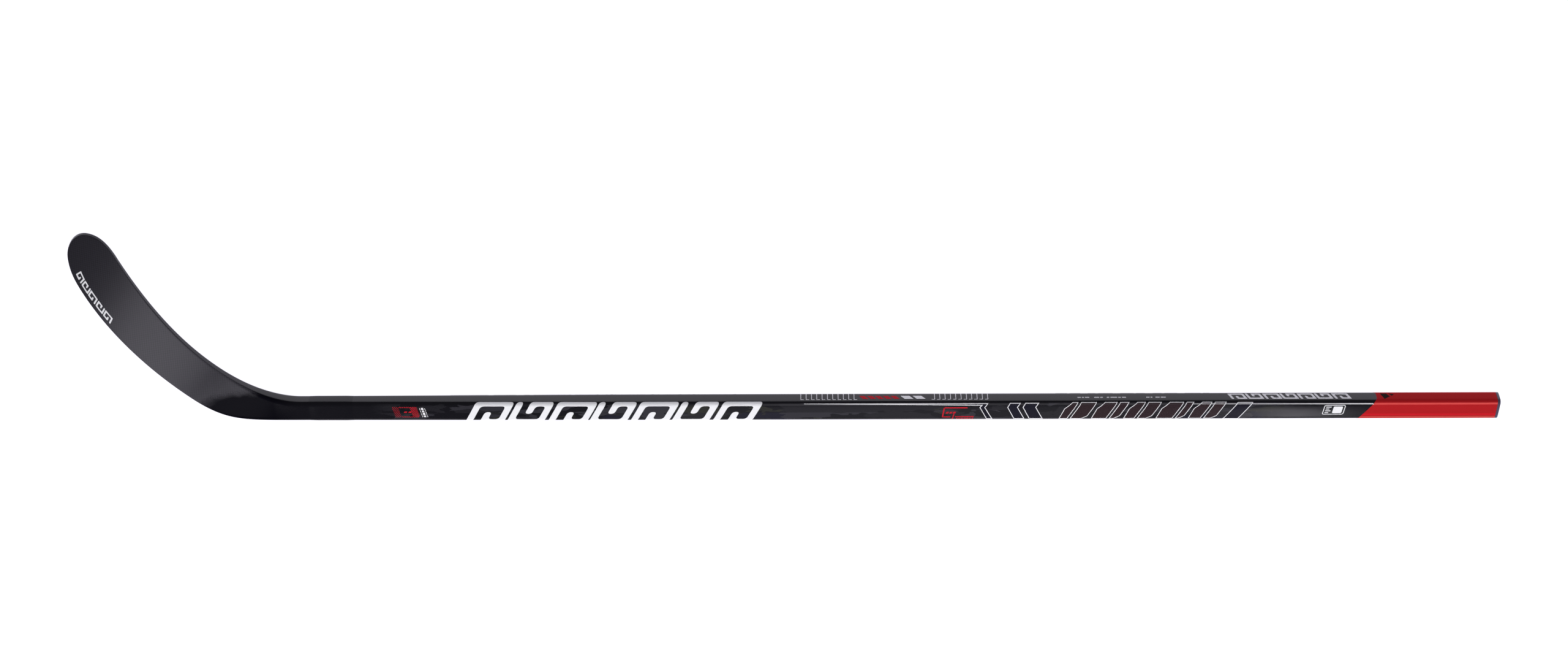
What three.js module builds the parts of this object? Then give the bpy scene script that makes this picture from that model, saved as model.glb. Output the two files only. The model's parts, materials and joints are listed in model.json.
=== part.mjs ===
// Ice hockey stick with a left-hand curve, lying on the ice with its backhand side up.
//
// Millimetres, +Z up. The stick is built in a design frame: X runs along the shaft from the
// heel (0) to the butt, Y points from the shaft's outer edge towards the toe, and +Z is the
// backhand side. The finished assembly is rolled about X until the toe and the shaft's
// outer edge touch the ground together, and its origin is put at the bottom centre.

import * as THREE from "three";

// ---- Driving dimensions: shaft ----
const SHAFT_WIDTH = 29.5;
const SHAFT_THICKNESS = 20;
const NECK_THICKNESS = 17.2;
const SHAFT_CORNER = 5.6;
const TAPER_START = 460;
const JOINT_X = 120;
const SHAFT_END = 1514;
const BUTT_END = 1517.5;
const WALL = 1.5;

// ---- Driving dimensions: joint and plug ----
const TENON_END = 190;
const SOCKET_END = 200;
const TENON_ROOT_START = 90;
const TENON_ROOT_WIDTH = 14.4;
const TENON_ROOT_THICKNESS = 11.6;
const TENON_ROOT_CORNER = 3;
const TENON_LEAD = 2;
const TENON_LEAD_DEPTH = 1.5;
const BOND = 0.4;
const WRAP_START = 98;
const WRAP_END = 150;
const WRAP = 0.4;
const BUNG_LENGTH = 30;
const BUNG_GAP = 2;
const PLUG_INSERT = 45;
const PLUG_WALL = 2.2;
const PLUG_RIM = 0.1;
const PLUG_CHAMFER = 0.8;
const PLUG_LEAD = 3;
const PLUG_LEAD_DEPTH = 0.6;
const PLUG_GLUE_LENGTH = 40;

// ---- Driving dimensions: blade ----
const NECK_SKIN = 2.7;
const BLADE_SKIN = 1;
const RAIL_LIP = 1.6;
const HEEL_THICKNESS = 7.2;
const TOE_THICKNESS = 4.8;
const HEEL_EDGE = 2.4;
const TOE_EDGE = 1.9;
const BLADE_ANGLE = THREE.MathUtils.degToRad(49);
const CURVE_START = 60;
const CURVE_RATE = 9e-4;
const TWIST = THREE.MathUtils.degToRad(6);
const TWIST_START = 40;
const TWIST_LENGTH = 240;
const TWIST_HEIGHT = 25;

// ---- Clearances between pieces that touch ----
const GAP = 0.3;
const HALF_GAP = GAP / 2;

const HALF_WIDTH = SHAFT_WIDTH / 2;
const CORNER_STEPS = 2;
const EDGE_STEPS = 3;

const finish = (color, roughness, metalness = 0) =>
  new THREE.MeshStandardMaterial({ color, roughness, metalness });
const lacqueredCarbon = finish(0x17161a, 0.25);
const bareCarbon = finish(0x2b2a30, 0.4);
const edgeResin = finish(0x1c1b20, 0.35);
const epoxy = finish(0xc9b375, 0.4);
const foam = finish(0xe4ddc6, 0.9);
const glassFibre = finish(0x8f9a8c, 0.6);
const rubberBlack = finish(0x17171b, 0.7);

// ---- Solids made of rings ----

// Closes a row of rings, all with the same number of points, into one solid. An open row is
// capped at both ends. A looped row joins its last ring to its first and makes a tube.
function loft(rings, looped = false) {
  const size = rings[0].length;
  const spans = looped ? rings.length : rings.length - 1;
  const index = [];
  for (let i = 0; i < spans; i += 1) {
    const here = i * size;
    const next = ((i + 1) % rings.length) * size;
    for (let j = 0; j < size; j += 1) {
      const k = (j + 1) % size;
      index.push(here + j, next + k, next + j);
      index.push(here + j, here + k, next + k);
    }
  }
  if (!looped) {
    const last = spans * size;
    for (let j = 1; j < size - 1; j += 1) {
      index.push(0, j + 1, j);
      index.push(last, last + j, last + j + 1);
    }
  }
  const geometry = new THREE.BufferGeometry();
  geometry.setFromPoints(rings.flat());
  geometry.setIndex(index);
  geometry.computeVertexNormals();
  return geometry;
}

// A rounded rectangle across the shaft at one X.
function section(x, width, thickness, corner) {
  const y = width / 2 - corner;
  const z = thickness / 2 - corner;
  const quarter = Math.PI / 2;
  const outline = new THREE.Shape();
  outline.absarc(y, z, corner, 0, quarter, false);
  outline.absarc(-y, z, corner, quarter, 2 * quarter, false);
  outline.absarc(-y, -z, corner, 2 * quarter, 3 * quarter, false);
  outline.absarc(y, -z, corner, 3 * quarter, 4 * quarter, false);
  return outline.getPoints(CORNER_STEPS).map((p) => new THREE.Vector3(x, p.x, p.y));
}

// The same rounded rectangle, drawn in by a distance all round.
function shrunk(x, thickness, inset) {
  const corner = Math.max(SHAFT_CORNER - inset, 1);
  return section(x, SHAFT_WIDTH - 2 * inset, thickness - 2 * inset, corner);
}

// Outer thickness of the shaft, which tapers towards the blade.
function shaftThickness(x) {
  const along = (x - JOINT_X) / (TAPER_START - JOINT_X);
  return THREE.MathUtils.lerp(NECK_THICKNESS, SHAFT_THICKNESS, Math.min(1, along));
}

// ---- Shaft, joint and butt ----

function shaftTube() {
  const start = JOINT_X + HALF_GAP;
  const outer = [start, TAPER_START, SHAFT_END].map((x) => shrunk(x, shaftThickness(x), 0));
  const inner = [
    shrunk(SHAFT_END, SHAFT_THICKNESS, WALL),
    shrunk(TAPER_START, SHAFT_THICKNESS, WALL),
    shrunk(SOCKET_END, NECK_THICKNESS, WALL),
    shrunk(start, NECK_THICKNESS, WALL),
  ];
  return loft([...outer, ...inner], true);
}

// A root held in the blade's neck and a wider spigot that fills the end of the shaft.
function bladeTenon() {
  const spigot = WALL + BOND + GAP;
  const root = (x) =>
    section(x, TENON_ROOT_WIDTH, TENON_ROOT_THICKNESS, TENON_ROOT_CORNER);
  return loft([
    root(TENON_ROOT_START),
    root(JOINT_X),
    shrunk(JOINT_X, NECK_THICKNESS, spigot),
    shrunk(TENON_END - TENON_LEAD, NECK_THICKNESS, spigot),
    shrunk(TENON_END, NECK_THICKNESS, spigot + TENON_LEAD_DEPTH),
  ]);
}

// A thin sleeve that fills the joint between an insert and the inside of the shaft.
function sleeve(from, to, thickness) {
  const outside = WALL + HALF_GAP;
  const inside = outside + BOND;
  return loft(
    [
      shrunk(from, thickness, outside),
      shrunk(to, thickness, outside),
      shrunk(to, thickness, inside),
      shrunk(from, thickness, inside),
    ],
    true,
  );
}

function jointWrap() {
  const stops = [WRAP_START, JOINT_X, WRAP_END];
  const ring = (x, lift) => shrunk(x, shaftThickness(Math.max(x, JOINT_X)), -lift);
  const outer = stops.map((x) => ring(x, HALF_GAP + WRAP));
  const inner = stops.map((x) => ring(x, HALF_GAP)).reverse();
  return loft([...outer, ...inner], true);
}

function foamBung() {
  const start = TENON_END + BUNG_GAP;
  const inset = WALL + HALF_GAP;
  return loft([start, start + BUNG_LENGTH].map((x) => shrunk(x, NECK_THICKNESS, inset)));
}

// A thin cap with a flat end face, moulded in one with a hollow insert.
function buttPlug() {
  const insert = WALL + BOND + GAP;
  const face = SHAFT_END + GAP;
  const mouth = face - PLUG_INSERT;
  const ring = (x, inset) => shrunk(x, SHAFT_THICKNESS, inset);
  return loft([
    ring(face, insert + PLUG_WALL),
    ring(mouth, insert + PLUG_WALL),
    ring(mouth, insert + PLUG_LEAD_DEPTH),
    ring(mouth + PLUG_LEAD, insert),
    ring(face, insert),
    ring(face, PLUG_RIM),
    ring(BUTT_END - PLUG_CHAMFER, PLUG_RIM),
    ring(BUTT_END, PLUG_CHAMFER),
  ]);
}

// ---- Blade outline, thickness and curve ----

const point = (x, y) => new THREE.Vector2(x, y);
const line = (a, b) => new THREE.LineCurve(a, b);
const bend = (a, b, c, d) => new THREE.CubicBezierCurve(a, b, c, d);

// Corners that neighbouring zones share, on the outer (lower) and inner (upper) outline.
const BEND_X = 88;
const HEEL_ROUND = point(52, -HALF_WIDTH);
const HEEL = point(-44, 21.5);
const THROAT = point(-3, 62.5);
const TOE_LOW = point(-154, 161.5);
const TOE_HIGH = point(-101.5, 206.5);
const TOE_FRONT = point(-164, 199);
const TOE_TIP = point(-135, 234);

// Each zone gives the two outlines, the number of steps, and how far the blade's
// thickness and edge rounding have gone from the shaft's to the heel's to the toe's.
const ZONES = [
  {
    steps: 2,
    lower: [line(point(JOINT_X - HALF_GAP, -HALF_WIDTH), point(BEND_X, -HALF_WIDTH))],
    upper: [line(point(JOINT_X - HALF_GAP, HALF_WIDTH), point(BEND_X, HALF_WIDTH))],
    thin: () => ({ neck: 0, blade: 0 }),
  },
  {
    steps: 12,
    lower: [
      line(point(BEND_X, -HALF_WIDTH), HEEL_ROUND),
      bend(HEEL_ROUND, point(8, -HALF_WIDTH), point(-11, -12), HEEL),
    ],
    upper: [bend(point(BEND_X, HALF_WIDTH), point(66, HALF_WIDTH), point(33, 25), THROAT)],
    thin: (f) => ({ neck: THREE.MathUtils.smoothstep(f, 0, 1), blade: 0 }),
  },
  {
    steps: 12,
    lower: [bend(HEEL, point(-84.5, 62.5), point(-129, 112), TOE_LOW)],
    upper: [bend(THROAT, point(-32.5, 93), point(-64, 134.5), TOE_HIGH)],
    thin: (f) => ({ neck: 1, blade: 0.8 * f }),
  },
  {
    steps: 12,
    lower: [
      bend(TOE_LOW, point(-159, 171.5), point(-164, 182), TOE_FRONT),
      bend(TOE_FRONT, point(-164, 216), point(-151, 234), TOE_TIP),
    ],
    upper: [bend(TOE_HIGH, point(-113.5, 232), point(-126, 234), TOE_TIP)],
    thin: (f) => ({ neck: 1, blade: 0.8 + 0.2 * f }),
  },
];

// One side of the outline at a fraction of its zone: the point and the inward normal.
function outlineAt(curves, fraction, turn) {
  const path = new THREE.CurvePath();
  curves.forEach((curve) => path.add(curve));
  const tangent = path.getTangent(fraction);
  return {
    at: path.getPoint(fraction),
    inward: point(turn * tangent.y, -turn * tangent.x),
  };
}

// A station is one line across the stick, from the lower outline to the upper one.
function stationsOf(zone) {
  return Array.from({ length: zone.steps + 1 }, (_, step) => {
    const fraction = step / zone.steps;
    const { neck, blade } = zone.thin(fraction);
    const heel = THREE.MathUtils.lerp(NECK_THICKNESS, HEEL_THICKNESS, neck);
    const heelEdge = THREE.MathUtils.lerp(SHAFT_CORNER, HEEL_EDGE, neck);
    return {
      lower: outlineAt(zone.lower, fraction, 1),
      upper: outlineAt(zone.upper, fraction, -1),
      thickness: THREE.MathUtils.lerp(heel, TOE_THICKNESS, blade),
      edge: THREE.MathUtils.lerp(heelEdge, TOE_EDGE, blade),
      skin: THREE.MathUtils.lerp(NECK_SKIN, BLADE_SKIN, neck),
    };
  });
}

// Neighbouring zones share a station, so each zone after the first leaves out its first.
const STATIONS = ZONES.flatMap((zone, i) => stationsOf(zone).slice(i ? 1 : 0));
const BEND = ZONES[0].steps;
const BLADE = BEND + ZONES[1].steps;
const TOE = BLADE + ZONES[2].steps;
const TIP = STATIONS.length - 1;
const TOE_TOP = TOE + 2;
const STATION_GAP = 0.04;

// Height of the blade's middle surface: it curves to the forehand side from the heel on,
// and leans back towards the toe.
function midSurface(x, y) {
  const along = (y + HALF_WIDTH) * Math.sin(BLADE_ANGLE) - x * Math.cos(BLADE_ANGLE);
  const across = (y + HALF_WIDTH) * Math.cos(BLADE_ANGLE) + x * Math.sin(BLADE_ANGLE);
  const turned = THREE.MathUtils.clamp((along - TWIST_START) / TWIST_LENGTH, 0, 1);
  const lean = Math.tan(TWIST * turned) * (across - TWIST_HEIGHT);
  return lean - CURVE_RATE * Math.max(0, along - CURVE_START) ** 2;
}

const onSurface = (p, lift) => new THREE.Vector3(p.x, p.y, midSurface(p.x, p.y) + lift);
const insetPoint = (side, depth) => side.at.clone().addScaledVector(side.inward, depth);

// Whole station numbers between two positions, with the positions themselves at the ends.
function positions(from, to) {
  const inner = [];
  for (let i = Math.floor(from) + 1; i < to; i += 1) inner.push(i);
  return [from, ...inner, to];
}

// Reads a ring at a position between two stations by mixing their rings.
function between(position, ringOf) {
  const i = Math.min(Math.floor(position), TIP - 1);
  const here = ringOf(STATIONS[i]);
  const next = ringOf(STATIONS[i + 1]);
  return here.map((p, j) => p.clone().lerp(next[j], position - i));
}

// ---- Blade edge rails ----

// The rail's section: rounded on the outline, square on the inside.
function railRing(station, side) {
  const { thickness, edge } = station;
  const half = thickness / 2;
  const profile = [point(edge + RAIL_LIP, -half)];
  for (let i = 0; i <= EDGE_STEPS; i += 1) {
    const turn = ((i / EDGE_STEPS) * Math.PI) / 2;
    profile.push(point(edge * (1 - Math.sin(turn)), edge * (1 - Math.cos(turn)) - half));
  }
  const mirrored = profile.map((p) => point(p.x, -p.y)).reverse();
  return [...profile, ...mirrored].map((p) => onSurface(insetPoint(station[side], p.x), p.y));
}

function rail(from, to, side) {
  return positions(from, to).map((at) => between(at, (s) => railRing(s, side)));
}

const bottomRail = () => loft(rail(0, TOE - STATION_GAP, "lower"));
const topRail = () => loft(rail(0, TOE_TOP - STATION_GAP, "upper").reverse());

// The toe's rail runs round the tip, from the lower outline to the upper one.
function toeRail() {
  const low = rail(TOE, TIP, "lower");
  const high = rail(TOE_TOP, TIP, "upper").reverse();
  return loft([...low, ...high.slice(1)]);
}

// ---- Blade skins and core ----

// A plate between the rails. share is the part of the width that it takes, from the lower
// rail (0) to the upper one (1), and level gives its lowest and highest height.
function plate(from, to, share, columns, level) {
  const margin = [share[0] > 0 ? HALF_GAP : 0, share[1] < 1 ? HALF_GAP : 0];
  const ringOf = (station) => {
    const depth = station.edge + RAIL_LIP + GAP;
    const start = insetPoint(station.lower, depth);
    const end = insetPoint(station.upper, depth);
    const width = start.distanceTo(end);
    const first = share[0] + margin[0] / width;
    const last = share[1] - margin[1] / width;
    const row = Array.from({ length: columns + 1 }, (_, i) =>
      start.clone().lerp(end, THREE.MathUtils.lerp(first, last, i / columns)),
    );
    const [low, high] = level(station.thickness / 2, station.skin);
    const bottom = row.map((p) => onSurface(p, low)).reverse();
    const top = row.map((p) => onSurface(p, high));
    return [...top, ...bottom];
  };
  return loft(positions(from, to).map((at) => between(at, ringOf)));
}

const SKIN_END = TIP - 1;
const HEEL_CORE_END = BLADE - 2;
const TOE_CORE_START = TOE + 3;
const NARROW_RIB = [0.46, 0.54];

const backhandLevel = (half, skin) => [half - skin, half];
const forehandLevel = (half, skin) => [-half, skin - half];
const coreLevel = (half, skin) => [skin + GAP - half, half - skin - GAP];

function core(from, to, share, columns = 2) {
  return plate(from + STATION_GAP / 2, to - STATION_GAP / 2, share, columns, coreLevel);
}

// ---- Assembly ----

const stick = new THREE.Group();

function piece(name, geometry, material) {
  const mesh = new THREE.Mesh(geometry, material);
  mesh.name = name;
  stick.add(mesh);
  return mesh;
}

const shaft = piece("shaft_tube", shaftTube(), lacqueredCarbon);
piece("butt_end_plug", buttPlug(), rubberBlack);
const glueStart = SHAFT_END - PLUG_GLUE_LENGTH;
piece("butt_plug_glue", sleeve(glueStart, SHAFT_END, SHAFT_THICKNESS), epoxy);
piece("shaft_foam_bung", foamBung(), foam);
piece("blade_tenon", bladeTenon(), glassFibre);
const bondEnd = TENON_END - TENON_LEAD;
piece("tenon_bond", sleeve(JOINT_X + 1, bondEnd, NECK_THICKNESS), epoxy);
piece("joint_wrap", jointWrap(), lacqueredCarbon);
piece("blade_bottom_rail", bottomRail(), edgeResin);
piece("blade_top_rail", topRail(), edgeResin);
const toe = piece("blade_toe_rail", toeRail(), edgeResin);
piece("blade_skin_backhand", plate(0, SKIN_END, [0, 1], 4, backhandLevel), bareCarbon);
piece("blade_skin_forehand", plate(0, SKIN_END, [0, 1], 4, forehandLevel), bareCarbon);
piece("heel_insert", core(BEND, HEEL_CORE_END, [0, 1], 3), glassFibre);
piece("lower_foam_core", core(HEEL_CORE_END, TOE_CORE_START, [0, NARROW_RIB[0]]), foam);
piece("bridge_rib", core(HEEL_CORE_END, TOE_CORE_START, NARROW_RIB, 1), bareCarbon);
piece("upper_foam_core", core(HEEL_CORE_END, TOE_CORE_START, [NARROW_RIB[1], 1]), foam);
piece("toe_insert", core(TOE_CORE_START, SKIN_END, [0, 1]), rubberBlack);

// ---- Resting pose ----

// Lowest point of a mesh of the design frame, once the stick is rolled about X.
function lowestPoint(mesh, roll) {
  const at = mesh.geometry.getAttribute("position");
  let lowest = Infinity;
  for (let i = 0; i < at.count; i += 1) {
    lowest = Math.min(lowest, at.getY(i) * Math.sin(roll) + at.getZ(i) * Math.cos(roll));
  }
  return lowest;
}

// The roll at which the toe and the shaft are equally low, by halving an interval.
function restingRoll() {
  let low = 0;
  let high = Math.PI / 6;
  for (let i = 0; i < 40; i += 1) {
    const middle = (low + high) / 2;
    if (lowestPoint(toe, middle) < lowestPoint(shaft, middle)) low = middle;
    else high = middle;
  }
  return low;
}

stick.rotation.x = restingRoll();
stick.updateMatrixWorld(true);
const bounds = new THREE.Box3().setFromObject(stick, true);
const centre = bounds.getCenter(new THREE.Vector3());
stick.position.set(-centre.x, -centre.y, -bounds.min.z);

const part = new THREE.Group();
part.add(stick);

export default part;
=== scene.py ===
"""Looks of a composite ice hockey stick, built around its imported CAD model.

Lengths are millimetres in the stick's design frame, as in the CAD: X runs along the shaft from
the heel (0) to the butt, Y points towards the toe and Z is the backhand side. place() turns such
a point into metres in the row frame. On the shaft a print is drawn in (x, s), where s is the
distance round the section from the middle of the backhand face towards +Y.
"""

import json
import math
from bisect import bisect_right

import bmesh
import bpy
from mathutils import Matrix, Vector


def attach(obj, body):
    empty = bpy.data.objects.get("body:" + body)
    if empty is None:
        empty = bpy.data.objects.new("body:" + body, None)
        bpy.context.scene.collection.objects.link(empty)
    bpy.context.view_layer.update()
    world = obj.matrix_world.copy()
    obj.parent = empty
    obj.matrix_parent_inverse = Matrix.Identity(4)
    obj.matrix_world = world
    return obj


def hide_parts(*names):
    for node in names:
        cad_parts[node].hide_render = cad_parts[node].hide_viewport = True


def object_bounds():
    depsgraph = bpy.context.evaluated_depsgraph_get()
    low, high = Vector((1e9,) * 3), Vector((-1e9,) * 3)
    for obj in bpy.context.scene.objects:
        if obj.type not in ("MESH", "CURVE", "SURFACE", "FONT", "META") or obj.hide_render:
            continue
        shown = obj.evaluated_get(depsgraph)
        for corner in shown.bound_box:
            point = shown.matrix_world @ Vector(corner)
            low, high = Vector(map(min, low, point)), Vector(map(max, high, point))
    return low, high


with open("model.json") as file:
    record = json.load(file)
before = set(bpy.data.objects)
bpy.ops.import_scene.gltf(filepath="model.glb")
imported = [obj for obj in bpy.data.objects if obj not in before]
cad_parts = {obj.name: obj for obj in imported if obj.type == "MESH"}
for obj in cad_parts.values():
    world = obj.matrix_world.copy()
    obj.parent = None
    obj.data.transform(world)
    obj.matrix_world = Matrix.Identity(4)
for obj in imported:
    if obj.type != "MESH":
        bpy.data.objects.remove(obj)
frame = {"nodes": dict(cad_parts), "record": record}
cad_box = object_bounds()

# ---- Dimensions, as in the CAD ----
SHAFT_WIDTH = 29.5
SHAFT_THICKNESS = 20
NECK_THICKNESS = 17.2
SHAFT_CORNER = 5.6
TAPER_START = 460
JOINT_X = 120
SHAFT_END = 1514
BUTT_END = 1517.5
WALL = 1.5
BOND = 0.4
GAP = 0.3
WRAP_START = 98
WRAP_END = 150
PLUG_INSERT = 45
PLUG_WALL = 2.2
RAIL_LIP = 1.6
HEEL_THICKNESS = 7.2
TOE_THICKNESS = 4.8
HEEL_EDGE = 2.4
TOE_EDGE = 1.9
BLADE_ROUND = 0.9
NECK_SKIN = 2.7
BLADE_SKIN = 1
BLADE_ANGLE = math.radians(49)
CURVE_START = 60
CURVE_RATE = 9e-4
TWIST = math.radians(6)
TWIST_START = 40
TWIST_LENGTH = 240
TWIST_HEIGHT = 25
HALF_WIDTH = SHAFT_WIDTH / 2
QUARTER = math.pi / 2

# ---- The design frame in the row ----
MM = 0.001
mounts = {m["name"]: m for m in frame["record"]["mounts"]}
AXIS_X = Vector(mounts["butt_end"]["axis"])
AXIS_Z = Vector(mounts["shaft_backhand_face"]["axis"])
AXIS_Y = AXIS_Z.cross(AXIS_X)
HEEL_POINT = Vector(mounts["butt_end"]["pos_m"]) - AXIS_X * BUTT_END * MM


def place(x, y, z):
    return HEEL_POINT + (AXIS_X * x + AXIS_Y * y + AXIS_Z * z) * MM


def lerp(a, b, t):
    return a + (b - a) * t


def between(a, b, t):
    return tuple(lerp(p, q, t) for p, q in zip(a, b))


def smoothstep(t):
    t = min(1, max(0, t))
    return t * t * (3 - 2 * t)


# ---- Camera ----
CAMERA_TILT = math.radians(40)
CAMERA_ROLL = 0.0026
CAMERA_DISTANCE = 3.0
CAMERA_AIM = (664.5, 95.4)
FRAME_WIDTH = 1.8755
SENSOR = 36


def make_camera():
    """Looks at the backhand and toe-side faces from the toe's side, with the toe's side up."""
    towards = AXIS_Y * math.sin(CAMERA_TILT) + AXIS_Z * math.cos(CAMERA_TILT)
    up = AXIS_Y * math.cos(CAMERA_TILT) - AXIS_Z * math.sin(CAMERA_TILT)
    target = HEEL_POINT + (AXIS_X * CAMERA_AIM[0] + up * CAMERA_AIM[1]) * MM
    right = AXIS_X * math.cos(CAMERA_ROLL) - up * math.sin(CAMERA_ROLL)
    top = up * math.cos(CAMERA_ROLL) + AXIS_X * math.sin(CAMERA_ROLL)
    data = bpy.data.cameras.new("camera")
    data.sensor_width = SENSOR
    data.lens = SENSOR * CAMERA_DISTANCE / FRAME_WIDTH
    data.clip_end = 50
    camera = bpy.data.objects.new("camera", data)
    turn = Matrix((right, top, towards)).transposed().to_4x4()
    camera.matrix_world = Matrix.Translation(target + towards * CAMERA_DISTANCE) @ turn
    bpy.context.scene.collection.objects.link(camera)
    bpy.context.scene.camera = camera


# ---- Materials ----


class Paint:
    """A Principled material with short calls for its nodes."""

    def __init__(self, name, color, roughness, specular=0.5):
        self.material = bpy.data.materials.new(name)
        self.material.use_nodes = True
        self.tree = self.material.node_tree
        self.shader = self.tree.nodes["Principled BSDF"]
        self.shader.inputs["Base Color"].default_value = (*color, 1)
        self.shader.inputs["Roughness"].default_value = roughness
        self.shader.inputs["Specular IOR Level"].default_value = specular

    def node(self, kind, inputs=None, **settings):
        node = self.tree.nodes.new(kind)
        for key, value in settings.items():
            setattr(node, key, value)
        for key, value in (inputs or {}).items():
            if isinstance(value, bpy.types.NodeSocket):
                self.tree.links.new(value, node.inputs[key])
            else:
                node.inputs[key].default_value = value
        return node

    def link(self, socket, name):
        self.tree.links.new(socket, self.shader.inputs[name])

    def math(self, operation, a, b=0.0):
        return self.node("ShaderNodeMath", {0: a, 1: b}, operation=operation).outputs[0]

    def ramp(self, factor, stops, interpolation="LINEAR"):
        node = self.node("ShaderNodeValToRGB", {"Fac": factor})
        node.color_ramp.interpolation = interpolation
        elements = node.color_ramp.elements
        while len(elements) < len(stops):
            elements.new(0.5)
        for element, (position, color) in zip(elements, stops):
            element.position = position
            element.color = (*color, 1)
        return node.outputs["Color"]

    def mix(self, factor, a, b):
        node = self.node("ShaderNodeMix", {0: factor}, data_type="RGBA")
        for socket, value in ((6, a), (7, b)):
            if isinstance(value, bpy.types.NodeSocket):
                self.tree.links.new(value, node.inputs[socket])
            else:
                node.inputs[socket].default_value = (*value, 1)
        return node.outputs[2]

    def split(self, vector):
        """The first two numbers of a vector."""
        node = self.node("ShaderNodeSeparateXYZ", {"Vector": vector})
        return node.outputs[0], node.outputs[1]

    def soft_step(self, value, start, end):
        """0 before start, 1 past end, whichever of them is the larger."""
        inputs = {"Value": value, "From Min": start, "From Max": end}
        return self.node("ShaderNodeMapRange", inputs, interpolation_type="SMOOTHSTEP").outputs[0]

    def flat(self, scale=(1, 1)):
        """The piece's own flat coordinates, in millimetres times scale."""
        uv = self.node("ShaderNodeUVMap", uv_map=FLAT).outputs[0]
        inputs = {"Vector": uv, "Scale": (scale[0], scale[1], 1)}
        return self.node("ShaderNodeMapping", inputs).outputs[0]

    def solid(self, scale):
        """Object coordinates in millimetres times scale."""
        here = self.node("ShaderNodeTexCoord").outputs["Object"]
        inputs = {"Vector": here, "Scale": (scale / MM,) * 3}
        return self.node("ShaderNodeMapping", inputs).outputs[0]

    def noise(self, vector, scale=1.0, detail=3.0):
        inputs = {"Vector": vector, "Scale": scale, "Detail": detail}
        return self.node("ShaderNodeTexNoise", inputs).outputs["Fac"]

    def bump(self, height, strength, distance=0.0002):
        inputs = {"Height": height, "Strength": strength, "Distance": distance}
        self.link(self.node("ShaderNodeBump", inputs).outputs[0], "Normal")

    def vary_roughness(self, vector, low, high):
        inputs = {"Value": self.noise(vector), "To Min": low, "To Max": high}
        self.link(self.node("ShaderNodeMapRange", inputs).outputs[0], "Roughness")


FLAT = "flat_mm"
INK = (0.0034, 0.0032, 0.0056)
SLATE = (0.0105, 0.0100, 0.0135)
GRAPHITE = (0.0230, 0.0220, 0.0285)
OLIVE = (0.0175, 0.0178, 0.0142)
NAVY = (0.0058, 0.0055, 0.0145)


def shaft_lacquer():
    """Gloss black. The wide faces carry a faint camouflage of angular patches."""
    paint = Paint("shaft_lacquer", INK, 0.16)
    large_tones = [(0, INK), (0.35, SLATE), (0.55, GRAPHITE), (0.75, OLIVE), (0.85, NAVY)]
    small_tones = [(0, INK), (0.3, GRAPHITE), (0.62, SLATE), (0.85, OLIVE)]
    large = camouflage(paint, (62, 17), large_tones)
    small = camouflage(paint, (27, 8), small_tones)
    choice = camouflage(paint, (48, 11), [(0, (0, 0, 0)), (0.62, (1, 1, 1))])
    pattern = paint.mix(choice, large, small)
    x, s = paint.split(paint.flat())
    ahead = paint.soft_step(x, 168, 196)
    behind = paint.soft_step(x, 1290, 1225)
    folded = paint.math("PINGPONG", paint.math("ADD", s, 2 * PERIMETER), PERIMETER / 4)
    face = paint.soft_step(folded, FACE_EDGE + 0.1, FACE_EDGE - 0.5)
    covered = paint.math("MULTIPLY", paint.math("MULTIPLY", ahead, behind), face)
    paint.link(paint.mix(covered, INK, pattern), "Base Color")
    paint.vary_roughness(paint.flat((0.02, 0.1)), 0.14, 0.2)
    paint.bump(paint.noise(paint.flat((0.35, 0.35))), 0.02)
    return paint.material


def camouflage(paint, size, stops):
    """Angular patches of a few tones, of some length and width."""
    warp = paint.node("ShaderNodeTexNoise", {"Vector": paint.flat((0.03, 0.08)), "Scale": 1.0})
    grid = paint.flat((1 / size[0], 1 / size[1]))
    inputs = {0: grid, 1: warp.outputs["Color"]}
    moved = paint.node("ShaderNodeVectorMath", inputs, operation="ADD").outputs[0]
    inputs = {"Vector": moved, "Scale": 1.0}
    cells = paint.node("ShaderNodeTexVoronoi", inputs, distance="MANHATTAN")
    tint = paint.node("ShaderNodeSeparateColor", {"Color": cells.outputs["Color"]}).outputs[0]
    return paint.ramp(tint, stops, "CONSTANT")


def gloss_black(name, roughness):
    paint = Paint(name, INK, roughness, 0.4)
    cloud = paint.noise(paint.flat((0.03, 0.08)))
    paint.link(paint.mix(cloud, INK, (0.0042, 0.0040, 0.0066)), "Base Color")
    paint.vary_roughness(paint.flat((0.02, 0.1)), roughness - 0.03, roughness + 0.05)
    paint.bump(paint.noise(paint.flat((0.35, 0.35))), 0.02)
    return paint.material


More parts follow.
